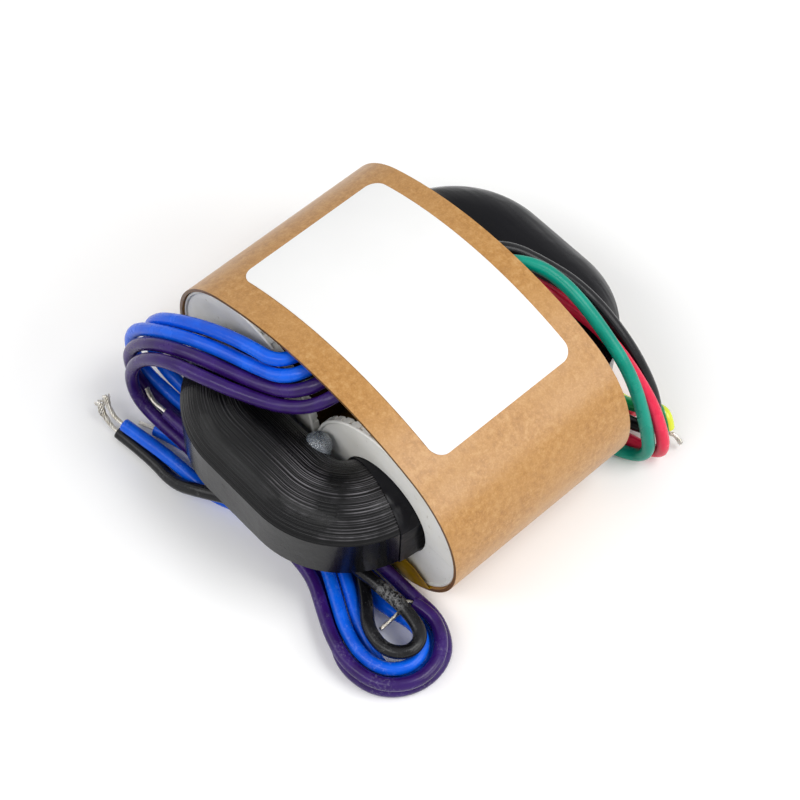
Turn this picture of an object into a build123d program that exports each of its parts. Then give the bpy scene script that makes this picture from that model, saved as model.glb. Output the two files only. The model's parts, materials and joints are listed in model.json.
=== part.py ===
from build123d import *
import math
import os

# An r-core mains transformer: a round wound core, two bobbins under one paper wrap, and nine flexible leads.
# Millimetres. The floor is z = 0, the bobbins' axes run along Y, and the near end is -Y.
os.makedirs("parts", exist_ok=True)

# Driving sizes
FLANGE_RADIUS = 17.0
FLANGE_WIDTH = 1.2
FLANGE_INSET = 0.67
BOBBIN_CLEARANCE = 0.6
WRAP_LENGTH = 40.6
WRAP_WALL = 0.6
WRAP_CLEARANCE = 0.1
CROWN_RADIUS = 64.7
CORE_RADIUS = 9.27
CORE_FLAT = 8.1
CORNER_RADIUS = 10.8
BEND_INSET = 0.53
BORE_CLEARANCE = 0.43
TUBE_WALL = 1.0
TAPE = 0.25
TAPE_REACH = 4.0
LEAD_DIAMETER = 2.4
STRAND_DIAMETER = 0.8
SLEEVE_DIAMETER = 3.1
SLEEVE_LENGTH = 8.0
SLEEVE_CLEARANCE = 0.35
GAP = 0.04

wrap_radius = FLANGE_RADIUS + WRAP_CLEARANCE + WRAP_WALL
axis_z = wrap_radius
leg_x = FLANGE_RADIUS + BOBBIN_CLEARANCE / 2
flange_face = WRAP_LENGTH / 2 - FLANGE_INSET
corner_x = leg_x - CORNER_RADIUS
corner_y = flange_face - BEND_INSET
arc_y = corner_y + CORNER_RADIUS
bobbin_bore = CORE_RADIUS + BORE_CLEARANCE
tube_radius = bobbin_bore + TUBE_WALL


def save(node, shape):
    """Writes one named piece."""
    export_step(shape, f"parts/{node}.step")
    print(node, "volume", round(shape.volume, 1))


def leg_place(x, y=0.0):
    return Pos(x, y, axis_z)


def ring_along_y(outer, inner, length):
    """A tube on the Y axis, centred on the origin."""
    face = Plane.XZ * (Circle(outer) - Circle(inner))
    return extrude(face, amount=length / 2, both=True)


# Core: one closed loop of a near-round section, its outer and inner sides flat where the strip is widest
def core_section(grow):
    return Circle(CORE_RADIUS + grow) & Rectangle(2 * (CORE_FLAT + grow), 4 * CORE_RADIUS)


def core_leg(section, y_from, y_to):
    """A straight run along Y of a section drawn in the XZ plane."""
    return Pos(leg_x, y_from, axis_z) * extrude(Plane.XZ * section, amount=-(y_to - y_from))


def core_turn(section, degrees):
    """The bend from a leg towards the far arc."""
    axis = Axis((corner_x, corner_y, 0), (0, 0, 1))
    return revolve(Pos(leg_x, corner_y, axis_z) * (Plane.XZ * section), axis=axis, revolution_arc=degrees)


def core_yoke(section):
    """The straight run along X at the middle of the far arc."""
    return Pos(0, arc_y, axis_z) * extrude(Plane.YZ * section, amount=corner_x, both=True)


section = core_section(0)
quarter = core_leg(section, 0, corner_y) + core_turn(section, 90)
half = quarter + mirror(quarter, about=Plane.YZ) + core_yoke(section)
core = half + mirror(half, about=Plane.XZ)
save("core", core)

# Tape on the arcs: all of the far one, and only the bends next to the bobbins on the near one
tape_section = core_section(TAPE) - core_section(GAP)
bend = core_leg(tape_section, flange_face - TAPE_REACH, corner_y) + core_turn(tape_section, 90)
far_tape = bend + mirror(bend, about=Plane.YZ) + core_yoke(tape_section)
save("far_arc_tape", far_tape)
NEAR_TAPE_TURN = 13
collar = core_leg(tape_section, flange_face - TAPE_REACH, corner_y) + core_turn(tape_section, NEAR_TAPE_TURN)
save("near_tape_right", mirror(collar, about=Plane.XZ))
save("near_tape_left", Rot(0, 0, 180) * collar)

# Bobbins: two half shells each, with a toothed rim by which the winding machine turns them
TEETH = 40
TOOTH_DEPTH = 0.35
TOOTH_GAP = 0.9
bobbin = ring_along_y(tube_radius, bobbin_bore, 2 * flange_face)
flange = ring_along_y(FLANGE_RADIUS, bobbin_bore, FLANGE_WIDTH)
notch = Pos(FLANGE_RADIUS, 0, 0) * Box(2 * TOOTH_DEPTH, FLANGE_WIDTH, TOOTH_GAP)
step = 360 / TEETH
notches = [Rot(0, (k + 0.5) * step, 0) * notch for k in range(TEETH)]
flange = flange - notches
for y in (flange_face - FLANGE_WIDTH / 2, -flange_face + FLANGE_WIDTH / 2):
    bobbin = bobbin + Pos(0, y, 0) * flange
upper_space = Pos(0, 0, GAP / 2 + FLANGE_RADIUS) * Box(4 * FLANGE_RADIUS, 2 * WRAP_LENGTH, 2 * FLANGE_RADIUS)
upper_half = bobbin & upper_space
lower_half = bobbin & mirror(upper_space, about=Plane.XY)

# Windings: thin layers of a set thickness, and two of copper that share what is left of the flange's height
INSULATION_WALL = 0.36
SCREEN_WALL = 0.12
OUTER_TAPE_WALL = 0.26
FLANGE_STAND = 0.6
PRIMARY_SHARE = 0.454
window = FLANGE_RADIUS - FLANGE_STAND - tube_radius
copper = window - INSULATION_WALL - SCREEN_WALL - OUTER_TAPE_WALL - 5 * GAP
layers = [
    ("primary_winding", copper * PRIMARY_SHARE),
    ("winding_insulation", INSULATION_WALL),
    ("screen_foil", SCREEN_WALL),
    ("secondary_winding", copper * (1 - PRIMARY_SHARE)),
    ("outer_tape", OUTER_TAPE_WALL),
]
winding_length = 2 * (flange_face - FLANGE_WIDTH - GAP)
for side, x in (("left", -leg_x), ("right", leg_x)):
    save(f"bobbin_{side}_upper", leg_place(x) * upper_half)
    save(f"bobbin_{side}_lower", leg_place(x) * lower_half)
    outer = tube_radius
    for name, wall in layers:
        inner = outer + GAP
        outer = inner + wall
        save(f"{name}_{side}", leg_place(x) * ring_along_y(outer, inner, winding_length))

# Wrap: round over each bobbin, crowned on top over the lead joints, flat below
crown_z = axis_z - (CROWN_RADIUS - wrap_radius) * math.sqrt(1 - (leg_x / (CROWN_RADIUS - wrap_radius)) ** 2)


def wrap_outline(grow):
    """The wrap's outer outline, moved outwards by grow."""
    r = wrap_radius + grow
    big = CROWN_RADIUS + grow
    x = big * leg_x / (CROWN_RADIUS - wrap_radius)
    z = crown_z + math.sqrt(big**2 - x**2)
    low = axis_z - r
    edges = [
        Line((-leg_x, low), (leg_x, low)),
        ThreePointArc((leg_x, low), (leg_x + r, axis_z), (x, z)),
        ThreePointArc((x, z), (0, crown_z + big), (-x, z)),
        ThreePointArc((-x, z), (-leg_x - r, axis_z), (-leg_x, low)),
    ]
    return Plane.XZ * make_face(Wire(edges))


wrap = extrude(wrap_outline(0), amount=WRAP_LENGTH / 2, both=True)
wrap = wrap - extrude(wrap_outline(-WRAP_WALL), amount=WRAP_LENGTH, both=True)
save("kraft_wrap", wrap)

# Label: a bare sheet with round corners on the wrap's crown
LABEL_LEFT, LABEL_RIGHT = -24.7, 23.8
LABEL_NEAR, LABEL_FAR = -14.6, 16.1
LABEL_CORNER = 2.5
LABEL_THICKNESS = 0.12
label_width = LABEL_RIGHT - LABEL_LEFT
label_length = LABEL_FAR - LABEL_NEAR
label_sheet = extrude(wrap_outline(GAP + LABEL_THICKNESS), amount=WRAP_LENGTH / 2, both=True)
label_sheet = label_sheet - extrude(wrap_outline(GAP), amount=WRAP_LENGTH, both=True)
cutter = extrude(RectangleRounded(label_width, label_length, LABEL_CORNER), amount=CROWN_RADIUS)
label_centre = ((LABEL_LEFT + LABEL_RIGHT) / 2, (LABEL_NEAR + LABEL_FAR) / 2, axis_z)
save("label", label_sheet & (Pos(*label_centre) * cutter))

# Leads: the points of each route from its solder joint under the wrap's crown to the end of its insulation
joint_z = crown_z + CROWN_RADIUS - WRAP_WALL - SLEEVE_DIAMETER / 2 - SLEEVE_CLEARANCE
lead_routes = {
    "lead_blue_a": [
        (-4.9, -12.0, joint_z), (-4.9, -18.4, joint_z), (-7.0, -22.3, 35.9), (-12.6, -22.9, 34.2), (-20.0, -24.0, 31.4),
        (-27.4, -25.4, 28.2), (-33.0, -26.1, 23.6), (-36.4, -26.1, 17.8), (-36.9, -26.0, 11.4), (-34.4, -25.6, 6.2),
        (-28.6, -24.9, 4.0), (-20.0, -24.6, 4.0), (-9.0, -24.7, 4.0), (1.0, -24.8, 4.0), (8.6, -25.0, 4.0),
        (14.4, -27.2, 4.0), (19.8, -29.8, 3.8), (25.0, -32.6, 3.0), (30.2, -34.2, 1.5), (34.4, -34.8, 1.25),
        (37.2, -32.0, 1.25), (37.4, -28.0, 1.25), (34.4, -24.9, 1.25), (28.6, -24.5, 1.25), (19.0, -24.7, 1.25),
        (8.0, -24.8, 1.25), (-4.0, -27.0, 1.25), (-15.0, -30.2, 1.25), (-22.4, -31.3, 1.25), (-27.8, -33.2, 1.25),
    ],
    "lead_blue_b": [
        (-1.6, -12.0, joint_z), (-1.6, -18.8, joint_z), (-4.4, -22.9, 34.5), (-10.2, -24.0, 31.9), (-17.0, -25.3, 30.4),
        (-24.4, -27.3, 28.7), (-31.8, -28.6, 24.0), (-37.4, -28.7, 18.0), (-39.2, -28.8, 11.4), (-36.6, -28.4, 5.8),
        (-30.6, -27.6, 4.0), (-20.0, -27.1, 4.0), (-9.0, -27.2, 4.0), (1.0, -27.3, 4.0), (8.6, -27.6, 4.0),
        (14.4, -30.0, 4.0), (19.8, -32.8, 4.0), (24.6, -35.3, 3.9), (30.2, -36.7, 3.75), (35.0, -35.6, 3.75),
        (37.5, -31.4, 3.75), (36.0, -27.5, 3.75), (32.4, -25.9, 3.75), (26.8, -27.0, 2.6), (20.0, -27.3, 1.25),
        (11.0, -27.4, 1.25), (2.0, -28.8, 1.25), (-6.0, -32.4, 1.25), (-11.0, -34.6, 1.6), (-16.0, -35.3, 3.0),
        (-23.0, -36.2, 3.7), (-30.9, -37.5, 3.7),
    ],
    "lead_violet_a": [
        (1.65, -12.0, joint_z), (1.65, -18.8, joint_z), (-1.4, -22.8, 33.6), (-6.2, -24.5, 30.7), (-13.2, -26.5, 29.2),
        (-20.4, -28.9, 28.5), (-28.2, -30.3, 25.0), (-34.0, -30.8, 18.9), (-36.9, -31.0, 12.2), (-35.2, -30.7, 6.2),
        (-30.2, -30.0, 4.0), (-20.0, -29.6, 4.0), (-9.0, -29.7, 4.0), (1.0, -29.8, 4.0), (7.6, -30.0, 3.0),
        (13.4, -31.0, 1.35), (19.2, -34.1, 1.25), (24.0, -37.0, 1.25), (29.6, -39.5, 1.25), (36.6, -38.0, 1.25),
        (40.3, -32.0, 1.25), (39.3, -25.0, 1.25), (33.4, -21.4, 1.25), (26.8, -21.9, 1.6), (21.0, -22.8, 4.2),
        (15.2, -23.9, 6.75), (8.0, -25.2, 6.75), (-2.0, -27.4, 6.75), (-12.0, -30.0, 6.75), (-19.6, -31.3, 6.75),
        (-26.2, -31.4, 6.75),
    ],
    "lead_violet_b": [
        (4.9, -12.0, joint_z), (4.9, -18.8, joint_z), (2.2, -22.8, 33.2), (-2.8, -25.2, 29.7), (-9.2, -28.0, 28.7),
        (-16.4, -30.8, 28.6), (-24.0, -32.4, 25.2), (-30.0, -33.0, 18.6), (-33.4, -33.2, 12.2), (-32.6, -33.0, 6.2),
        (-28.6, -32.6, 4.0), (-20.0, -32.1, 4.0), (-9.0, -32.2, 4.0), (1.0, -32.3, 4.0), (8.6, -32.4, 4.0),
        (14.2, -33.0, 3.9), (19.6, -35.7, 3.75), (24.6, -38.1, 3.75), (30.4, -39.4, 3.75), (36.4, -38.0, 3.75),
        (40.1, -33.2, 3.75), (39.7, -27.7, 3.75), (36.5, -24.0, 3.75), (32.2, -22.7, 4.1), (29.2, -24.0, 4.75),
    ],
    "lead_black_a": [
        (-1.6, -12.0, joint_z - 3.2), (-1.6, -18.6, joint_z - 3.2), (-4.6, -21.7, 30.6), (-10.8, -21.6, 30.0), (-18.0, -21.9, 29.0),
        (-25.0, -23.1, 26.8), (-31.4, -23.6, 21.6), (-34.4, -23.5, 15.4), (-33.6, -23.2, 9.2), (-29.4, -22.6, 5.0),
        (-22.6, -22.1, 4.0), (-12.0, -22.1, 4.0), (-1.0, -22.2, 4.0), (8.0, -22.4, 4.0), (14.4, -24.1, 4.0),
        (19.6, -26.7, 4.0), (24.2, -29.9, 5.2), (28.0, -33.2, 6.0), (33.0, -34.0, 6.2), (36.2, -31.2, 6.2),
        (35.4, -27.4, 6.2), (30.8, -26.2, 6.3), (25.6, -26.5, 6.5), (20.0, -27.0, 6.75), (12.0, -28.2, 6.75),
        (3.0, -30.2, 6.75), (-5.0, -33.8, 6.75), (-11.0, -36.6, 5.0), (-16.6, -38.1, 2.0), (-23.6, -37.4, 1.25),
        (-31.6, -38.4, 1.25),
    ],
    "lead_green": [
        (2.4, 12.0, joint_z), (2.4, 18.6, joint_z), (7.4, 23.2, 36.0), (12.4, 24.8, 34.6), (17.6, 25.1, 32.8),
        (22.6, 25.2, 30.0), (27.0, 25.5, 26.4), (30.2, 25.9, 21.8), (32.6, 26.1, 16.6), (34.6, 26.3, 11.2),
        (35.6, 26.7, 5.6), (33.4, 26.4, 1.5), (27.6, 24.0, 1.25), (18.0, 23.3, 1.25), (8.0, 23.6, 1.25),
        (-2.0, 24.4, 1.25),
    ],
    "lead_red": [
        (5.6, 12.0, joint_z - 0.8), (5.6, 18.6, joint_z - 0.8), (9.6, 22.8, 32.2), (14.4, 25.0, 29.6), (20.0, 26.3, 28.0),
        (25.0, 27.2, 24.8), (29.2, 28.1, 20.2), (32.8, 28.7, 15.6), (35.1, 28.9, 11.2), (36.6, 29.2, 6.6),
        (36.0, 29.6, 2.4), (31.4, 28.2, 1.25), (23.0, 26.6, 1.25), (13.0, 26.3, 1.25), (4.0, 26.8, 1.25),
        (-5.0, 28.0, 1.25), (-11.4, 30.0, 1.25), (-15.0, 33.4, 1.25), (-13.0, 37.0, 1.25), (-8.0, 38.4, 1.25),
        (-2.0, 37.6, 1.25), (6.0, 36.2, 1.25), (16.0, 34.0, 1.25), (27.0, 31.8, 1.25),
    ],
    "lead_black_b": [
        (-0.9, 12.0, joint_z), (-0.9, 18.6, joint_z), (2.0, 23.2, 34.8), (6.8, 25.8, 33.0), (12.0, 27.6, 31.8),
        (17.4, 28.2, 31.0), (22.6, 28.6, 28.9), (26.5, 29.4, 25.6), (28.9, 30.7, 20.8), (31.7, 31.1, 15.2),
        (33.9, 31.3, 10.0), (33.4, 31.3, 5.2), (29.2, 29.6, 3.75), (22.0, 28.0, 3.75), (12.0, 26.2, 3.75),
        (2.0, 26.6, 3.75), (-7.0, 27.6, 3.75),
    ],
    "lead_yellow_green": [
        (-4.2, 12.0, joint_z), (-4.2, 18.6, joint_z), (-9.0, 22.4, 34.0), (-16.0, 23.6, 31.0), (-22.6, 24.2, 27.6),
        (-27.2, 25.4, 21.6), (-28.6, 27.6, 14.0), (-26.8, 31.0, 7.0), (-21.6, 34.8, 4.0), (-13.0, 36.6, 3.8),
        (-2.0, 37.0, 3.8), (9.0, 37.0, 3.9), (19.0, 36.2, 5.0), (26.4, 35.2, 8.0), (31.4, 34.5, 9.8),
        (34.2, 34.2, 7.4), (34.9, 33.9, 3.6),
    ],
}

# The bare strands go on straight from each lead's end for a little, then on to these points
STRAND_START = 1.4
strand_ends = {
    "blue_a": [(-30.9, -34.4, 1.0)],
    "blue_b": [(-34.4, -37.8, 4.2), (-36.8, -36.8, 5.8)],
    "violet_a": [(-29.6, -31.7, 6.6), (-32.4, -30.9, 6.9)],
    "violet_b": [(27.9, -26.6, 4.8), (29.2, -31.4, 5.2)],
    "black_a": [(-35.2, -38.6, 2.2), (-37.6, -38.0, 4.2)],
    "green": [(-5.2, 24.8, 1.0)],
    "red": [(30.0, 31.4, 1.0)],
    "black_b": [(-10.2, 28.2, 3.6)],
    "yellow_green": [(36.2, 33.7, 1.6), (38.4, 33.4, 0.8)],
}

# How much of the shorter run beside a corner its bend takes
BEND_SHARE = 0.45


def bend_radii(points):
    """The largest bend at each corner that leaves a straight piece on both sides."""
    radii = []
    for a, b, c in zip(points, points[1:], points[2:]):
        before = Vector(b) - Vector(a)
        after = Vector(c) - Vector(b)
        turn = math.radians(before.get_angle(after))
        radii.append(BEND_SHARE * min(before.length, after.length) / math.tan(turn / 2))
    return radii


def save_tube(node, points, diameter):
    """A round lead along a route of straight runs and tangent bends."""
    radii = bend_radii(points)
    path = Wire(FilletPolyline(*points, radius=radii).edges())
    solid = sweep(Plane(origin=path @ 0, z_dir=path % 0) * Circle(diameter / 2), path=path)
    share = solid.volume / (math.pi * diameter**2 / 4 * path.length)
    print(node, "length", round(path.length, 1), "bend", round(min(radii), 1), "share", round(share, 4))
    save(node, solid)


for name, points in lead_routes.items():
    save_tube(name, points, LEAD_DIAMETER)
    end = Vector(points[-1])
    start = end + (end - Vector(points[-2])).normalized() * STRAND_START
    colour = name.removeprefix("lead_")
    save_tube("strands_" + colour, [points[-1], start.to_tuple()] + strand_ends[colour], STRAND_DIAMETER)

# Joint sleeves: each covers the solder joint at a lead's inner end, face to face with its insulation
def sleeves(names, direction):
    solids = []
    for name in names:
        x, y, z = lead_routes[name][0]
        sleeve = Rot(90, 0, 0) * Cylinder(SLEEVE_DIAMETER / 2, SLEEVE_LENGTH)
        solids.append(Pos(x, y - direction * SLEEVE_LENGTH / 2, z) * sleeve)
    return Compound(solids)


near_leads = [name for name, points in lead_routes.items() if points[0][1] < 0]
far_leads = [name for name, points in lead_routes.items() if points[0][1] > 0]
save("near_joint_sleeves", sleeves(near_leads, -1))
save("far_joint_sleeves", sleeves(far_leads, 1))

# A free end of amber polyester tape: it comes out between the right near flange and the wrap and folds up
FILM_THICKNESS = 0.07
FILM_CLEARANCE = 0.02
FILM_STAND = 0.9
FILM_TURN = 46
FILM_FOLD_X = 8.2
film_inner = FLANGE_RADIUS + FILM_CLEARANCE
film_outer = film_inner + FILM_THICKNESS
film_top = CORE_RADIUS + TAPE + 0.18


def rim_point(radius, degrees):
    """A point on a circle, counted from straight down towards +X."""
    angle = math.radians(degrees)
    return (radius * math.sin(angle), -radius * math.cos(angle))


low, side = (0, -2 * FLANGE_RADIUS), rim_point(2 * FLANGE_RADIUS, FILM_TURN)
wedge = make_face(Polyline((0, 0), low, side, (0, 0)))
rim_strip = (Circle(film_outer) - Circle(film_inner)) & wedge
flap_edge = [(0, -film_top), (FILM_FOLD_X, -film_top), rim_point(film_inner, FILM_TURN)]
flap = Circle(film_outer) & make_face(Polyline(*flap_edge, side, low, flap_edge[0]))
film = extrude(Plane.XZ * rim_strip, amount=FLANGE_WIDTH + FILM_STAND)
film = film + Pos(0, -FLANGE_WIDTH - FILM_STAND + FILM_THICKNESS, 0) * extrude(Plane.XZ * flap, amount=FILM_THICKNESS)
save("polyester_tape_end", leg_place(leg_x, FLANGE_WIDTH - flange_face) * film)

# A blob of clear glue on the near arc's inner edge, between the bobbins
GLUE_RADIUS = 2.45
GLUE_TURN = math.radians(37)
GLUE_INSET = 2.6
glue_y = CORE_RADIUS * math.cos(GLUE_TURN) - arc_y
glue_z = axis_z + CORE_RADIUS * math.sin(GLUE_TURN)
blob = Pos(corner_x - GLUE_INSET, glue_y, glue_z) * Sphere(GLUE_RADIUS)
save("glue_blob", blob - core)
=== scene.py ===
import json
import math

import bmesh
import bpy
from mathutils import Matrix, Vector


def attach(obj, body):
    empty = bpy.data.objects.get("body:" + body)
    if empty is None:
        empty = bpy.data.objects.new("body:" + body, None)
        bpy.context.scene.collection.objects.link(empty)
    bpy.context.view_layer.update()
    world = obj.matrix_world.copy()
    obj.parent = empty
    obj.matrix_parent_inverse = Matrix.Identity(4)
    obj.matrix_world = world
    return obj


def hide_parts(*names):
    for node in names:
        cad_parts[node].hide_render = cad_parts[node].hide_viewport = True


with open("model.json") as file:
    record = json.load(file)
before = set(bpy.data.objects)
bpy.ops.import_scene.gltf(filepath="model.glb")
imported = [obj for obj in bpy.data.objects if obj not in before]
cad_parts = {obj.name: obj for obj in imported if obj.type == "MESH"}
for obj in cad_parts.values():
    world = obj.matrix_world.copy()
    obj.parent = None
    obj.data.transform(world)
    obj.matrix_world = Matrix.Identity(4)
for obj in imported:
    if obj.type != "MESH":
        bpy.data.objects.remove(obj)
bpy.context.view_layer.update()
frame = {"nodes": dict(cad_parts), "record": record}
nodes = frame["nodes"]
MM = 0.001

# Named sizes, in metres, as in the model
AXIS_Z = 17.7 * MM
LEG_X = 17.3 * MM
CORNER_X = 6.5 * MM
CORNER_Y = 19.1 * MM
LEAD_DIAMETER = 2.4 * MM
STRAND_DIAMETER = 0.8 * MM
STRAND_START = 1.4 * MM
FLANGE_RADIUS = 17.0 * MM
FLANGE_FACE = 19.63 * MM
WRAP_END = 20.3 * MM

# Steps of the made meshes and curves
SPLINE_ORDER = 3
SPLINE_STEPS = 8
BEVEL_STEPS = 5
WIRE_SIDES = 6
BEAD_STEPS = 144
BEAD_SIDES = 10

# Camera: a long lens that looks down on the near end from its right
AZIMUTH = math.radians(44.9)
ELEVATION = math.radians(57.89)
ROLL = math.radians(2.76)
DISTANCE = 377.72 * MM
AIM_RIGHT = -0.24 * MM
AIM_UP = -4.76 * MM
FOCAL_PIXELS = 2194.3
IMAGE_PIXELS = 800
SENSOR_MM = 36.0

outward = Vector((math.sin(AZIMUTH), -math.cos(AZIMUTH), 0))
back = math.cos(ELEVATION) * outward + math.sin(ELEVATION) * Vector((0, 0, 1))
level = Vector((math.cos(AZIMUTH), math.sin(AZIMUTH), 0))
upright = back.cross(level)
right = math.cos(ROLL) * level + math.sin(ROLL) * upright
up = math.cos(ROLL) * upright - math.sin(ROLL) * level
camera_data = bpy.data.cameras.new("camera")
camera_data.sensor_width = SENSOR_MM
camera_data.lens = SENSOR_MM * FOCAL_PIXELS / IMAGE_PIXELS
camera_data.clip_start = 0.01
camera = bpy.data.objects.new("camera", camera_data)
place = AIM_RIGHT * right + AIM_UP * up + DISTANCE * back + Vector((0, 0, AXIS_Z))
turn = Matrix((right, up, back)).transposed().to_4x4()
camera.matrix_world = Matrix.Translation(place) @ turn
bpy.context.collection.objects.link(camera)
bpy.context.scene.camera = camera


# Materials
def math_node(tree, kind, *values):
    """One Math node; each value is a number or a socket."""
    node = tree.nodes.new("ShaderNodeMath")
    node.operation = kind
    for socket, value in zip(node.inputs, values):
        if isinstance(value, (int, float)):
            socket.default_value = value
        else:
            tree.links.new(value, socket)
    return node.outputs[0]


def mix_node(tree, amount, a, b):
    """Colour a where amount is 0 and colour b where it is 1."""
    node = tree.nodes.new("ShaderNodeMix")
    node.data_type = "RGBA"
    for key, value in ((0, amount), (6, a), (7, b)):
        if isinstance(value, tuple):
            node.inputs[key].default_value = (*value, 1)
        else:
            tree.links.new(value, node.inputs[key])
    return node.outputs[2]


class Shader:
    """A principled material and short calls for the nodes that feed it."""

    def __init__(self, name, colour, roughness, coat=0.0, coat_roughness=0.05):
        self.material = bpy.data.materials.new(name)
        self.material.use_nodes = True
        self.tree = self.material.node_tree
        self.surface = self.tree.nodes["Principled BSDF"]
        self.surface.inputs["Base Color"].default_value = (*colour, 1)
        self.surface.inputs["Roughness"].default_value = roughness
        self.surface.inputs["Coat Weight"].default_value = coat
        self.surface.inputs["Coat Roughness"].default_value = coat_roughness
        self.place = self.tree.nodes.new("ShaderNodeTexCoord").outputs["Object"]
        self.height = None

    def link(self, source, target):
        self.tree.links.new(source, target)

    def math(self, kind, *values):
        return math_node(self.tree, kind, *values)

    def mix(self, amount, a, b):
        return mix_node(self.tree, amount, a, b)

    def stretched(self, scale):
        """Object coordinates, stretched by a scale along each axis."""
        node = self.tree.nodes.new("ShaderNodeMapping")
        node.inputs["Scale"].default_value = scale
        self.link(self.place, node.inputs["Vector"])
        return node.outputs[0]

    def noise(self, scale, detail=4.0, stretch=(1, 1, 1), roughness=0.55):
        node = self.tree.nodes.new("ShaderNodeTexNoise")
        node.inputs["Scale"].default_value = scale
        node.inputs["Detail"].default_value = detail
        node.inputs["Roughness"].default_value = roughness
        self.link(self.stretched(stretch), node.inputs["Vector"])
        return node.outputs[0]

    def ramp(self, value, *stops):
        """Colours by value: each stop is (position, colour)."""
        node = self.tree.nodes.new("ShaderNodeValToRGB")
        band = node.color_ramp
        while len(band.elements) < len(stops):
            band.elements.new(0.5)
        for element, (position, colour) in zip(band.elements, stops):
            element.position = position
            element.color = (*colour, 1)
        self.link(value, node.inputs[0])
        return node.outputs[0]

    def span(self, value, low, high, to_low=0.0, to_high=1.0):
        """Maps low to to_low and high to to_high, and keeps to that range."""
        node = self.tree.nodes.new("ShaderNodeMapRange")
        keys = ("From Min", "From Max", "To Min", "To Max")
        for key, number in zip(keys, (low, high, to_low, to_high)):
            node.inputs[key].default_value = number
        self.link(value, node.inputs["Value"])
        return node.outputs[0]

    def colour(self, source):
        self.link(source, self.surface.inputs["Base Color"])

    def rough(self, source):
        self.link(source, self.surface.inputs["Roughness"])

    def bump(self, height, distance):
        """Adds relief whose full height is distance, in metres."""
        node = self.tree.nodes.new("ShaderNodeBump")
        node.inputs["Distance"].default_value = distance
        node.inputs["Strength"].default_value = 1.0
        self.link(height, node.inputs["Height"])
        if self.height is not None:
            self.link(self.height, node.inputs["Normal"])
        self.height = node.outputs[0]
        self.link(self.height, self.surface.inputs["Normal"])

    def set(self, key, value):
        """Sets one of the surface's own values, the same all over."""
        self.surface.inputs[key].default_value = value

    def distance(self, centre):
        """Distance from a place given in millimetres."""
        node = self.tree.nodes.new("ShaderNodeVectorMath")
        node.operation = "DISTANCE"
        self.link(self.place, node.inputs[0])
        node.inputs[1].default_value = [MM * c for c in centre]
        return node.outputs["Value"]

    def coordinate(self, axis):
        node = self.tree.nodes.new("ShaderNodeSeparateXYZ")
        self.link(self.place, node.inputs[0])
        return node.outputs[axis]


def core_offset(shader):
    """Distance from the corners' centres in plan: the same along one turn of the wound strip."""
    squares = []
    for axis, corner in ((0, CORNER_X), (1, CORNER_Y)):
        past = shader.math("SUBTRACT", shader.math("ABSOLUTE", shader.coordinate(axis)), corner)
        past = shader.math("MAXIMUM", past, 0.0)
        squares.append(shader.math("MULTIPLY", past, past))
    return shader.math("SQRT", shader.math("ADD", *squares))


def along_offset(shader, offset, scale, detail=2.0):
    """Noise that changes only across the strip, as the edges of its turns do."""
    node = shader.tree.nodes.new("ShaderNodeTexNoise")
    node.noise_dimensions = "1D"
    node.inputs["Scale"].default_value = scale
    node.inputs["Detail"].default_value = detail
    shader.link(offset, node.inputs["W"])
    return node.outputs[0]


def make_core():
    """Black varnish over the strip's edges, with painted shine on the edges in patches and a painted
    highlight at the right near bend.
    """
    s = Shader("core_varnish", (0.005, 0.005, 0.006), 0.3, coat=0.08, coat_roughness=0.06)
    s.set("Specular IOR Level", 0.15)
    offset = core_offset(s)
    edges = along_offset(s, offset, 3600, 2)
    broad = along_offset(s, offset, 700, 2)
    patch = s.noise(110, 4)
    # Painted shine: the strip's edges are lighter in patches.
    edge_shine = s.math("MULTIPLY", s.span(edges, 0.5, 0.66), s.span(patch, 0.42, 0.6))
    # Painted highlight: the edges' shine is far brighter near the right near bend.
    bend_highlight = s.span(s.distance((15, -28, 26)), 14 * MM, 7 * MM)
    shine_tone = s.mix(bend_highlight, (0.022, 0.021, 0.023), (0.15, 0.145, 0.155))
    s.colour(s.mix(edge_shine, (0.003, 0.003, 0.0035), shine_tone))
    s.rough(s.span(patch, 0.3, 0.7, 0.12, 0.3))
    s.bump(edges, 0.14 * MM)
    s.bump(broad, 0.16 * MM)
    s.bump(s.noise(420, 3), 0.05 * MM)
    return s.material


def make_black_tape():
    s = Shader("black_tape", (0.005, 0.005, 0.007), 0.24)
    s.set("Specular IOR Level", 0.14)
    s.bump(s.noise(60, 3, (1, 1, 0.4)), 0.5 * MM)
    s.bump(s.noise(160, 2, (0.3, 1.6, 1.6)), 0.3 * MM)
    s.bump(s.noise(700, 3), 0.03 * MM)
    s.rough(s.span(s.noise(60, 3), 0.35, 0.65, 0.16, 0.34))
    return s.material


def make_bobbin():
    s = Shader("bobbin_plastic", (0.8, 0.79, 0.76), 0.3)
    s.set("Subsurface Weight", 0.15)
    s.set("Subsurface Radius", (0.002, 0.0018, 0.0015))
    s.set("Subsurface Scale", 1.0)
    stain = s.noise(75, 4)
    base = s.ramp(stain, (0.3, (0.78, 0.765, 0.71)), (0.7, (0.91, 0.9, 0.865)))
    dirt = s.span(s.noise(900, 4, roughness=0.7), 0.64, 0.74, 0.0, 0.5)
    s.colour(s.mix(dirt, base, (0.3, 0.24, 0.16)))
    s.bump(s.noise(150, 3), 0.14 * MM)
    s.bump(s.noise(1500, 2), 0.015 * MM)
    return s.material


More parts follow.
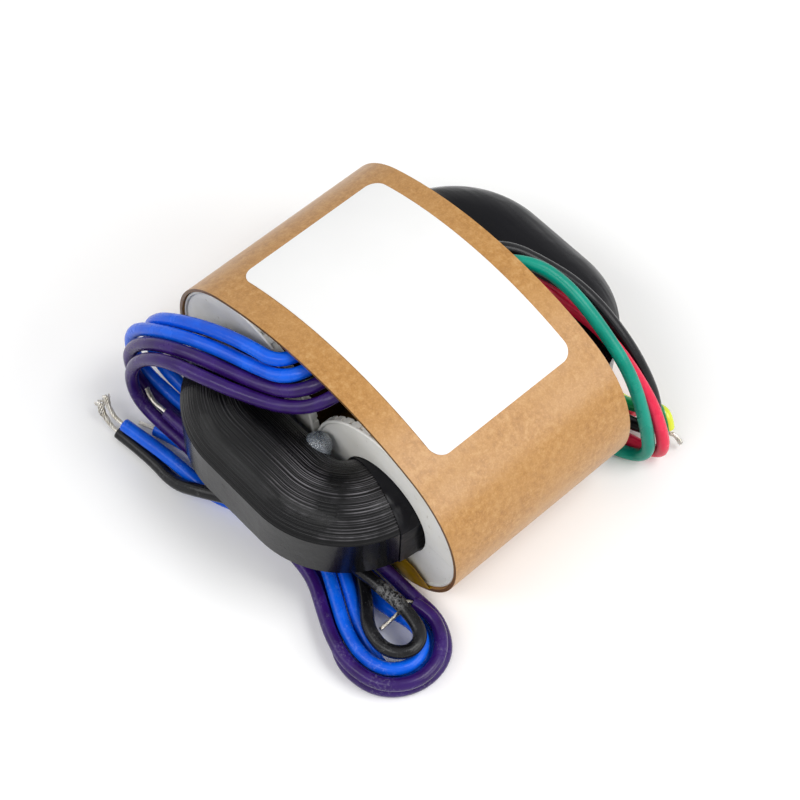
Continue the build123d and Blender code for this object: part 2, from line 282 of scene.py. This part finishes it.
def make_kraft():
    s = Shader("kraft_paper", (0.5, 0.25, 0.06), 0.36)
    grain = s.noise(3000, 4, roughness=0.7)
    mottle = s.noise(900, 4, roughness=0.65)
    cloud = s.noise(130, 4)
    broad = s.noise(38, 3)
    base = s.ramp(
        mottle,
        (0.32, (0.36, 0.165, 0.036)),
        (0.52, (0.46, 0.225, 0.058)),
        (0.7, (0.54, 0.3, 0.105)),
    )
    tone = s.mix(s.span(cloud, 0.38, 0.66, 0.0, 0.6), base, (0.49, 0.255, 0.08))
    tone = s.mix(s.span(grain, 0.5, 0.75, 0.0, 0.5), tone, (0.64, 0.39, 0.165))
    tone = s.mix(s.span(grain, 0.45, 0.3, 0.0, 0.4), tone, (0.34, 0.15, 0.028))
    along = s.math("ABSOLUTE", s.coordinate(1))
    cut_edge = s.span(along, WRAP_END - 0.02 * MM, WRAP_END - 0.01 * MM)
    s.colour(s.mix(cut_edge, tone, (0.16, 0.075, 0.02)))
    s.rough(s.span(broad, 0.3, 0.7, 0.3, 0.42))
    s.bump(grain, 0.012 * MM)
    s.bump(mottle, 0.03 * MM)
    s.bump(cloud, 0.06 * MM)
    s.bump(broad, 0.35 * MM)
    return s.material


def make_label():
    s = Shader("label_paper", (0.86, 0.86, 0.855), 0.42, coat=0.15, coat_roughness=0.2)
    grain = s.noise(1200, 3)
    s.colour(s.ramp(s.noise(40, 3), (0.3, (0.88, 0.88, 0.875)), (0.7, (0.92, 0.92, 0.915))))
    s.bump(grain, 0.008 * MM)
    s.bump(s.noise(35, 2), 0.25 * MM)
    return s.material


VINYL_ROUGHNESS = 0.24


def make_vinyl(name, deep, pale, scraped=None):
    """Soft vinyl insulation: faint mottling, dust, scuffs low at the near end, and one scraped place."""
    s = Shader(name, deep, VINYL_ROUGHNESS)
    s.set("Specular IOR Level", 0.26)
    speck = s.noise(1700, 4, roughness=0.75)
    cloud = s.noise(200, 3)
    tone = s.mix(s.span(cloud, 0.35, 0.65), deep, pale)
    low = s.span(s.coordinate(2), 12 * MM, 4 * MM)
    near_end = s.span(s.coordinate(1), -20 * MM, -24 * MM)
    patches = s.math("MULTIPLY", s.math("MULTIPLY", low, near_end), s.span(s.noise(260, 3), 0.48, 0.62))
    scuffs = s.math("MULTIPLY", patches, s.span(speck, 0.52, 0.7, 0.0, 0.35))
    if scraped:
        close = s.span(s.distance(scraped), 3.8 * MM, 1.8 * MM)
        scrape = s.math("MULTIPLY", close, s.span(speck, 0.44, 0.6, 0.0, 0.6))
        scuffs = s.math("MAXIMUM", scuffs, scrape)
    dust = s.span(speck, 0.66, 0.74, 0.0, 0.3)
    powder = tuple(0.3 + 0.55 * c for c in pale)
    s.colour(s.mix(s.math("MAXIMUM", scuffs, dust), tone, powder))
    gloss = s.span(cloud, 0.3, 0.7, VINYL_ROUGHNESS - 0.06, VINYL_ROUGHNESS + 0.08)
    s.rough(s.math("ADD", gloss, s.math("MULTIPLY", scuffs, 0.4)))
    s.bump(s.noise(380, 3), 0.05 * MM)
    s.bump(speck, 0.015 * MM)
    return s.material


def make_yellow_green():
    """Two colours, each on its own side of the lead."""
    s = Shader("yellow_green_insulation", (0.4, 0.62, 0.03), 0.26, coat=0.35, coat_roughness=0.12)
    normal = s.tree.nodes.new("ShaderNodeNewGeometry").outputs["Normal"]
    parts = s.tree.nodes.new("ShaderNodeSeparateXYZ")
    s.link(normal, parts.inputs[0])
    side = s.math("ADD", parts.outputs[0], parts.outputs[1])
    s.colour(s.mix(s.span(side, 0.1, 0.25), (0.01, 0.3, 0.09), (0.72, 0.8, 0.01)))
    s.bump(s.noise(380, 3), 0.05 * MM)
    return s.material


def make_strands():
    s = Shader("tinned_strands", (0.62, 0.6, 0.55), 0.28)
    s.set("Metallic", 1.0)
    s.colour(s.ramp(s.noise(900, 3), (0.3, (0.42, 0.38, 0.3)), (0.7, (0.74, 0.72, 0.68))))
    s.bump(s.noise(1800, 3, (1, 1, 0.5)), 0.06 * MM)
    return s.material


def make_wire():
    s = Shader("enamelled_wire", (0.42, 0.13, 0.03), 0.28, coat=0.5)
    s.set("Metallic", 0.8)
    wave = s.tree.nodes.new("ShaderNodeTexWave")
    wave.bands_direction = "Y"
    wave.inputs["Scale"].default_value = 630
    wave.inputs["Distortion"].default_value = 0.3
    s.link(s.place, wave.inputs["Vector"])
    s.bump(wave.outputs[1], 0.2 * MM)
    # Painted shade: darker in the wave's grooves between the turns, where the bump is low.
    s.colour(s.mix(s.span(wave.outputs[1], 0.0, 0.5), (0.2, 0.05, 0.01), (0.48, 0.16, 0.04)))
    return s.material


def make_film():
    """Amber film, with painted shade where it lies inward of the flanges over the windings."""
    s = Shader("amber_film", (0.36, 0.2, 0.005), 0.2)
    amber = s.ramp(
        s.noise(200, 3),
        (0.3, (0.26, 0.14, 0.0)),
        (0.55, (0.42, 0.235, 0.002)),
        (0.75, (0.6, 0.36, 0.02)),
    )
    # Painted shade: the film turns nearly black inward of |y| 18.4 to 18.6 mm.
    inside = s.span(s.math("ABSOLUTE", s.coordinate(1)), 18.6 * MM, 18.4 * MM)
    s.colour(s.mix(inside, amber, (0.035, 0.018, 0.002)))
    s.bump(s.noise(140, 2), 0.3 * MM)
    return s.material


def make_foil():
    s = Shader("screen_foil", (0.72, 0.36, 0.2), 0.3)
    s.set("Metallic", 1.0)
    s.bump(s.noise(120, 3), 0.2 * MM)
    s.rough(s.span(s.noise(90, 3), 0.3, 0.7, 0.22, 0.42))
    return s.material


def make_sleeve():
    s = Shader("joint_sleeve", (0.62, 0.58, 0.48), 0.6)
    weave = s.noise(900, 2)
    s.colour(s.ramp(weave, (0.35, (0.5, 0.46, 0.36)), (0.65, (0.7, 0.67, 0.58))))
    s.bump(weave, 0.1 * MM)
    return s.material


def make_glue():
    s = Shader("clear_glue", (0.5, 0.6, 0.72), 0.1)
    s.set("Transmission Weight", 0.8)
    s.set("IOR", 1.45)
    # Painted highlights and painted shade: the colour follows the bump's noise, pale on its rises and dark in
    # its dips.
    s.colour(s.ramp(s.noise(420, 3), (0.3, (0.16, 0.21, 0.28)), (0.7, (0.85, 0.9, 0.96))))
    s.bump(s.noise(420, 3), 1.1 * MM)
    s.bump(s.noise(1400, 2), 0.1 * MM)
    return s.material


# Deep and pale colour of each plain lead, and the scraped place on the black one
vinyl_colours = {
    "blue": ((0.001, 0.085, 0.64), (0.002, 0.125, 0.8)),
    "violet": ((0.022, 0.004, 0.085), (0.036, 0.009, 0.14)),
    "black": ((0.004, 0.004, 0.005), (0.008, 0.008, 0.01)),
    "green": ((0.0, 0.24, 0.17), (0.0, 0.31, 0.22)),
    "red": ((0.7, 0.014, 0.055), (0.85, 0.026, 0.085)),
}
scraped_places = {"black": (26.7, -27.0, 7.0)}

looks = {
    "core_varnish": make_core(),
    "black_tape": make_black_tape(),
    "bobbin_plastic": make_bobbin(),
    "enamelled_wire": make_wire(),
    "amber_film": make_film(),
    "screen_foil": make_foil(),
    "kraft_paper": make_kraft(),
    "label_paper": make_label(),
    "joint_sleeve": make_sleeve(),
    "clear_glue": make_glue(),
    "yellow_green_insulation": make_yellow_green(),
    "tinned_strands": make_strands(),
}
for colour, (deep, pale) in vinyl_colours.items():
    slot = colour + "_insulation"
    looks[slot] = make_vinyl(slot, deep, pale, scraped=scraped_places.get(colour))

slot_of = {entry["node"]: entry["material_slot"] for entry in frame["record"]["subparts"]}
for name, node in nodes.items():
    node.data.materials.clear()
    node.data.materials.append(looks[slot_of[name]])


def dress(obj, slot, *replaced):
    """Gives a new piece its material, its body and the nodes that it stands for."""
    obj.data.materials.append(looks[slot])
    if obj.name not in bpy.context.collection.objects:
        bpy.context.collection.objects.link(obj)
    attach(obj, "root")
    if replaced:
        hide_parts(*replaced)


# Leads: the model's routes, in millimetres here and drawn in metres, with some points moved
lead_routes = {
    "lead_blue_a": [
        (-4.9, -12.0, 36.2), (-4.9, -18.4, 36.2), (-7.0, -22.3, 35.9), (-12.6, -22.9, 34.8),
        (-20.0, -24.0, 32.2), (-27.4, -25.4, 28.2), (-33.0, -26.1, 23.6), (-36.4, -26.1, 17.8),
        (-36.9, -26.0, 11.4), (-34.4, -25.6, 6.2), (-28.6, -24.9, 4.0), (-20.0, -24.6, 4.0),
        (-9.0, -24.7, 4.0), (1.0, -24.8, 4.0), (8.6, -25.0, 4.0), (14.4, -27.2, 4.0),
        (19.8, -29.8, 3.8), (25.0, -32.6, 3.0), (30.2, -34.2, 1.5), (34.4, -34.8, 1.25),
        (37.2, -32.0, 1.25), (37.4, -28.0, 1.25), (34.4, -24.9, 1.25), (28.6, -24.5, 1.25),
        (19.0, -24.7, 1.25), (8.0, -24.8, 1.25), (-4.0, -27.0, 1.25), (-15.0, -30.2, 1.25),
        (-22.4, -31.3, 1.25), (-27.8, -33.2, 1.25),
    ],
    "lead_blue_b": [
        (-1.6, -12.0, 36.2), (-1.6, -18.8, 36.2), (-4.4, -22.9, 34.5), (-10.2, -24.0, 32.5),
        (-17.0, -25.3, 30.9), (-24.4, -27.3, 28.7), (-31.8, -28.6, 24.0), (-37.4, -28.7, 18.0),
        (-39.2, -28.8, 11.4), (-36.6, -28.4, 5.8), (-30.6, -27.6, 4.0), (-20.0, -27.1, 4.0),
        (-9.0, -27.2, 4.0), (1.0, -27.3, 4.0), (8.6, -27.6, 4.0), (14.4, -30.0, 4.0),
        (19.8, -32.8, 4.0), (24.6, -35.3, 3.9), (30.2, -36.7, 3.75), (35.0, -35.6, 3.75),
        (37.5, -31.4, 3.75), (36.0, -27.5, 3.75), (32.4, -25.9, 3.75), (26.8, -27.0, 2.6),
        (20.0, -27.3, 1.25), (11.0, -27.4, 1.25), (2.0, -28.8, 1.25), (-6.0, -32.4, 1.25),
        (-11.0, -34.6, 1.6), (-16.0, -35.3, 3.0), (-23.0, -36.2, 3.7), (-30.9, -37.5, 3.7),
    ],
    "lead_violet_a": [
        (1.65, -12.0, 36.2), (1.65, -18.8, 36.2), (-1.4, -22.8, 33.6), (-6.2, -24.5, 31.2),
        (-13.2, -26.5, 29.9), (-20.4, -28.8, 29.3), (-28.2, -30.4, 25.5), (-34.2, -30.9, 19.2),
        (-36.9, -31.0, 12.2), (-35.2, -30.7, 6.2), (-30.2, -30.0, 4.0), (-20.0, -29.6, 4.0),
        (-9.0, -29.7, 4.0), (1.0, -29.8, 4.0), (7.6, -30.0, 3.0), (13.4, -31.0, 1.35),
        (19.2, -34.1, 1.25), (24.0, -37.0, 1.25), (29.6, -39.5, 1.25), (36.6, -38.0, 1.25),
        (40.3, -32.0, 1.25), (39.3, -25.0, 1.25), (33.4, -21.4, 1.25), (26.8, -21.9, 1.6),
        (21.0, -22.8, 4.2), (15.2, -23.9, 6.75), (8.0, -25.2, 6.75), (-2.0, -27.4, 6.75),
        (-12.0, -30.0, 6.75), (-19.6, -31.3, 6.75), (-26.2, -31.4, 6.75),
    ],
    "lead_violet_b": [
        (4.9, -12.0, 36.2), (4.9, -18.8, 36.2), (2.2, -22.8, 33.2), (-2.8, -25.2, 30.3),
        (-9.2, -28.0, 29.6), (-16.4, -30.8, 29.6), (-24.0, -32.1, 27.1), (-30.7, -32.8, 20.4),
        (-33.6, -33.2, 12.8), (-32.6, -33.0, 6.2), (-28.6, -32.6, 4.0), (-20.0, -32.1, 4.0),
        (-9.0, -32.2, 4.0), (1.0, -32.3, 4.0), (8.6, -32.4, 4.0), (14.2, -33.0, 3.9),
        (19.6, -35.7, 3.75), (24.6, -38.1, 3.75), (30.4, -39.4, 3.75), (36.4, -38.0, 3.75),
        (40.1, -33.2, 3.75), (39.7, -27.7, 3.75), (36.5, -24.0, 3.75), (32.2, -22.7, 4.1),
        (29.2, -24.0, 4.75),
    ],
    "lead_black_a": [
        (-1.6, -12.0, 33.0), (-1.6, -18.6, 33.0), (-4.6, -21.7, 30.6), (-10.8, -21.6, 30.0),
        (-18.0, -21.9, 29.0), (-25.0, -23.1, 26.8), (-31.4, -23.6, 21.6), (-34.4, -23.5, 15.4),
        (-33.6, -23.2, 9.2), (-29.4, -22.6, 5.0), (-22.6, -22.1, 4.0), (-12.0, -22.1, 4.0),
        (-1.0, -22.2, 4.0), (8.0, -22.4, 4.0), (14.4, -24.1, 4.0), (19.6, -26.7, 4.0),
        (24.2, -29.9, 5.2), (28.0, -33.2, 6.0), (33.0, -34.0, 6.2), (36.2, -31.2, 6.2),
        (35.4, -27.4, 6.2), (30.8, -26.2, 6.3), (25.6, -26.5, 6.5), (20.0, -27.0, 6.75),
        (12.0, -28.2, 6.75), (3.0, -30.2, 6.75), (-5.0, -33.8, 6.75), (-11.0, -36.6, 5.0),
        (-16.6, -38.1, 2.0), (-23.6, -37.4, 1.25), (-31.6, -38.4, 1.25),
    ],
    "lead_green": [
        (2.4, 12.0, 36.2), (2.4, 18.6, 36.2), (7.4, 23.2, 36.0), (12.4, 24.8, 34.6),
        (17.6, 25.1, 32.8), (22.6, 25.2, 30.0), (27.0, 25.5, 26.4), (30.2, 25.9, 21.8),
        (32.6, 26.1, 16.6), (34.6, 26.3, 11.2), (35.6, 26.7, 5.6), (33.4, 26.4, 1.5),
        (27.6, 24.0, 1.25), (18.0, 23.3, 1.25), (8.0, 23.6, 1.25), (-2.0, 24.4, 1.25),
    ],
    "lead_red": [
        (5.6, 12.0, 35.4), (5.6, 18.6, 35.4), (9.6, 22.8, 32.2), (14.4, 25.0, 29.6),
        (20.0, 26.3, 28.0), (25.0, 27.2, 24.8), (29.2, 28.1, 20.2), (32.8, 28.7, 15.6),
        (35.1, 28.9, 11.2), (36.6, 29.2, 6.6), (36.0, 29.6, 2.4), (31.4, 28.2, 1.25),
        (23.0, 26.6, 1.25), (13.0, 26.3, 1.25), (4.0, 26.8, 1.25), (-5.0, 28.0, 1.25),
        (-11.4, 30.0, 1.25), (-15.0, 33.4, 1.25), (-13.0, 37.0, 1.25), (-8.0, 38.4, 1.25),
        (-2.0, 37.6, 1.25), (6.0, 36.2, 1.25), (16.0, 34.0, 1.25), (27.0, 31.8, 1.25),
    ],
    "lead_black_b": [
        (-0.9, 12.0, 36.2), (-0.9, 18.6, 36.2), (2.0, 23.2, 34.8), (6.8, 25.8, 33.0),
        (12.0, 27.6, 31.8), (17.0, 28.3, 30.4), (21.0, 29.2, 27.3), (25.0, 30.1, 23.1),
        (28.2, 30.7, 18.8), (31.0, 31.1, 14.0), (32.6, 30.9, 9.3), (32.6, 30.9, 5.0),
        (29.2, 29.6, 3.75), (22.0, 28.0, 3.75), (12.0, 26.2, 3.75), (2.0, 26.6, 3.75),
        (-7.0, 27.6, 3.75),
    ],
    "lead_yellow_green": [
        (-4.2, 12.0, 36.2), (-4.2, 18.6, 36.2), (-9.0, 22.0, 32.6), (-16.0, 22.2, 29.0),
        (-23.4, 22.9, 26.4), (-27.6, 24.8, 20.6), (-28.6, 27.4, 13.6), (-26.8, 31.0, 7.0),
        (-21.6, 34.8, 4.0), (-13.0, 36.6, 3.8), (-2.0, 36.7, 3.8), (9.0, 35.4, 3.9),
        (16.0, 33.0, 4.0), (22.0, 31.2, 4.1), (26.5, 31.7, 4.6), (30.6, 33.4, 6.8),
        (32.9, 33.6, 7.4), (34.1, 33.2, 4.7),
    ],
}

# Where each bare end goes on past its insulation, and how far its wires spread
strand_ends = {
    "blue_a": [(-30.9, -34.4, 1.0)],
    "blue_b": [(-34.4, -37.8, 4.2), (-36.8, -36.8, 5.8)],
    "violet_a": [(-29.6, -31.7, 6.6), (-32.4, -30.9, 6.9)],
    "violet_b": [(29.2, -26.4, 4.75), (29.2, -31.4, 4.9)],
    "black_a": [(-35.2, -38.6, 2.2), (-37.6, -38.0, 4.2)],
    "green": [(-5.2, 24.8, 1.0)],
    "red": [(30.0, 31.4, 1.0)],
    "black_b": [(-10.2, 28.2, 3.6)],
    "yellow_green": [(35.4, 33.7, 3.6), (36.9, 34.2, 1.7)],
}
strand_splay = {
    "blue_b": 0.5 * MM,
    "black_a": 0.9 * MM,
    "violet_a": 0.25 * MM,
    "yellow_green": 0.15 * MM,
}


def smooth_curve(name, points, diameter):
    """One open spline, whose points carry its radius, so that its bounds are true."""
    curve = bpy.data.curves.new(name, "CURVE")
    curve.dimensions = "3D"
    spline = curve.splines.new("NURBS")
    spline.points.add(len(points) - 1)
    for control, point in zip(spline.points, points):
        control.co = (*point, 1)
        control.radius = diameter / 2
    spline.order_u = SPLINE_ORDER
    spline.use_endpoint_u = True
    spline.resolution_u = SPLINE_STEPS
    curve.resolution_u = SPLINE_STEPS
    curve.bevel_depth = 1.0
    curve.bevel_resolution = BEVEL_STEPS
    curve.use_fill_caps = True
    obj = bpy.data.objects.new(name, curve)
    bpy.context.collection.objects.link(obj)
    return obj


def line_points(obj):
    """The points along a curve's own line."""
    depth = obj.data.bevel_depth
    obj.data.bevel_depth = 0
    mesh = bpy.data.meshes.new_from_object(obj)
    obj.data.bevel_depth = depth
    points = [v.co.copy() for v in mesh.vertices]
    bpy.data.meshes.remove(mesh)
    return points


def run_length(points):
    return sum((b - a).length for a, b in zip(points, points[1:]))


def curve_length(obj):
    return run_length(line_points(obj))


def axes_along(points):
    """Two axes square to the line at each of its points, which turn with it and don't twist."""
    normal = (points[1] - points[0]).orthogonal().normalized()
    axes = []
    for i in range(len(points)):
        ahead = (points[min(i + 1, len(points) - 1)] - points[max(i - 1, 0)]).normalized()
        normal = (normal - normal.project(ahead)).normalized()
        axes.append((normal, ahead.cross(normal)))
    return axes


def around(axes, angle):
    """The direction at an angle between two axes."""
    return math.cos(angle) * axes[0] + math.sin(angle) * axes[1]


def add_ring(builder, centre, radius, axes, sides):
    """Adds the points of one round section."""
    return [
        builder.verts.new(centre + radius * around(axes, 2 * math.pi * k / sides))
        for k in range(sides)
    ]


def join_rings(builder, a, b):
    """Adds the faces between two rings."""
    for k in range(len(a)):
        after = (k + 1) % len(a)
        builder.faces.new((a[k], a[after], b[after], b[k]))


def add_tube(builder, points, radius, sides):
    """Adds a round tube along points, closed at both ends."""
    rings = [add_ring(builder, point, radius, axes, sides) for point, axes in zip(points, axes_along(points))]
    for a, b in zip(rings, rings[1:]):
        join_rings(builder, a, b)
    builder.faces.new(reversed(rings[0]))
    builder.faces.new(rings[-1])


def mesh_object(name, builder):
    mesh = bpy.data.meshes.new(name)
    bmesh.ops.recalc_face_normals(builder, faces=builder.faces)
    builder.to_mesh(mesh)
    builder.free()
    mesh.shade_smooth()
    return bpy.data.objects.new(name, mesh)


WIRES = 7
WIRE_RADIUS = 0.13 * MM
TWIST_PITCH = 3.2 * MM


def strand_bundle(name, guide, splay):
    """Thin wires twisted round a guide line; they open out towards its free end by splay."""
    points = line_points(guide)
    bpy.data.objects.remove(guide)
    axes = axes_along(points)
    length = run_length(points)
    builder = bmesh.new()
    for k in range(WIRES):
        centred = k == WIRES - 1
        own_splay = (0.6 + 0.4 * math.sin(5 * k)) * splay
        wire = []
        for i, point in enumerate(points):
            run = run_length(points[: i + 1])
            angle = 2 * math.pi * (k / (WIRES - 1) + run / TWIST_PITCH)
            reach = 0.0 if centred else 2 * WIRE_RADIUS + own_splay * (run / length) ** 2
            wire.append(point + reach * around(axes[i], angle))
        add_tube(builder, wire, WIRE_RADIUS, WIRE_SIDES)
    return mesh_object(name, builder)


def insulation_slot(name):
    colour = name.removeprefix("lead_").removesuffix("_a").removesuffix("_b")
    return colour + "_insulation"


for name, route in lead_routes.items():
    points = [Vector(p) * MM for p in route]
    lead = smooth_curve("wire_" + name, points, LEAD_DIAMETER)
    dress(lead, insulation_slot(name), name)
    colour = name.removeprefix("lead_")
    start = points[-1] + (points[-1] - points[-2]).normalized() * STRAND_START
    tip_points = [points[-1], start] + [Vector(p) * MM for p in strand_ends[colour]]
    guide = smooth_curve("guide_" + colour, tip_points, STRAND_DIAMETER)
    tip = strand_bundle("bare_" + colour, guide, strand_splay.get(colour, 0.0))
    dress(tip, "tinned_strands", "strands_" + colour)
    curve_length(lead)

# A moulded bead round each flange's outer face
BEAD_RADIUS = 0.32 * MM


def flange_bead(name, x, y):
    """A ring of round section just inside the flange's edge."""
    along = Vector((0, 1, 0))
    centre = Vector((x, y, AXIS_Z))
    builder = bmesh.new()
    rings = []
    for k in range(BEAD_STEPS):
        outward = around((Vector((0, 0, 1)), Vector((1, 0, 0))), 2 * math.pi * k / BEAD_STEPS)
        middle = centre + (FLANGE_RADIUS - BEAD_RADIUS) * outward
        rings.append(add_ring(builder, middle, BEAD_RADIUS, (outward, along), BEAD_SIDES))
    for a, b in zip(rings, rings[1:] + rings[:1]):
        join_rings(builder, a, b)
    dress(mesh_object(name, builder), "bobbin_plastic")


for side, x in (("left", -LEG_X), ("right", LEG_X)):
    for end, y in (("near", -FLANGE_FACE), ("far", FLANGE_FACE)):
        flange_bead(f"flange_bead_{side}_{end}", x, y)

# Floor and light
FLOOR_HALF = 1.5
FLOOR_COLOUR = (0.8, 0.8, 0.8)
WHITE = (1.0, 1.0, 1.0)


def backdrop_rays(tree):
    """1 for the rays that see the white background."""
    rays = tree.nodes.new("ShaderNodeLightPath").outputs
    seen = math_node(tree, "MAXIMUM", rays["Is Camera Ray"], rays["Is Glossy Ray"])
    return math_node(tree, "MAXIMUM", seen, rays["Is Transmission Ray"])


floor_mesh = bpy.data.meshes.new("floor")
builder = bmesh.new()
bmesh.ops.create_grid(builder, x_segments=1, y_segments=1, size=FLOOR_HALF)
builder.to_mesh(floor_mesh)
builder.free()
floor = bpy.data.objects.new("floor", floor_mesh)
bpy.context.collection.objects.link(floor)
floor_shader = Shader("floor_paint", FLOOR_COLOUR, 0.7)
floor_shader.colour(floor_shader.mix(backdrop_rays(floor_shader.tree), FLOOR_COLOUR, WHITE))
floor_mesh.materials.append(floor_shader.material)

world = bpy.data.worlds.new("studio")
bpy.context.scene.world = world
world.use_nodes = True
sky = world.node_tree
direction = sky.nodes.new("ShaderNodeTexCoord").outputs["Generated"]
height = sky.nodes.new("ShaderNodeSeparateXYZ")
sky.links.new(direction, height.inputs[0])

# Grey of the sky by height, from the horizon at 0 to straight up at 1
band = sky.nodes.new("ShaderNodeValToRGB")
for position, grey in ((0.2, 0.32), (0.45, 0.62), (0.7, 0.45)):
    stop = band.color_ramp.elements.new(position)
    stop.color = (grey, grey, grey, 1)
band.color_ramp.elements[0].color = (0.28, 0.28, 0.28, 1)
band.color_ramp.elements[-1].color = (0.2, 0.2, 0.2, 1)
sky.links.new(height.outputs[2], band.inputs[0])
backdrop = mix_node(sky, backdrop_rays(sky), band.outputs[0], WHITE)
background = sky.nodes["Background"]
sky.links.new(backdrop, background.inputs["Color"])
background.inputs["Strength"].default_value = 1.0


def area_lamp(name, place, size, power):
    """A soft lamp that points at the object; place and size are in metres."""
    data = bpy.data.lights.new(name, "AREA")
    data.shape = "RECTANGLE"
    data.size, data.size_y = size
    data.energy = power
    lamp = bpy.data.objects.new(name, data)
    lamp.location = place
    lamp.rotation_euler = (-Vector(place)).to_track_quat("-Z", "Y").to_euler()
    bpy.context.collection.objects.link(lamp)


area_lamp("lamp_top", (0.3, 0.2, 0.75), (0.4, 0.3), 2.3)
area_lamp("lamp_side", (0.62, 0.3, 0.42), (0.5, 0.4), 2.2)
area_lamp("lamp_left", (-0.4, -0.5, 0.4), (0.4, 0.3), 0.9)
area_lamp("lamp_front", (0.05, -0.42, 0.55), (0.5, 0.2), 1.4)

scene = bpy.context.scene
scene.view_settings.view_transform = "Standard"

bpy.context.view_layer.update()
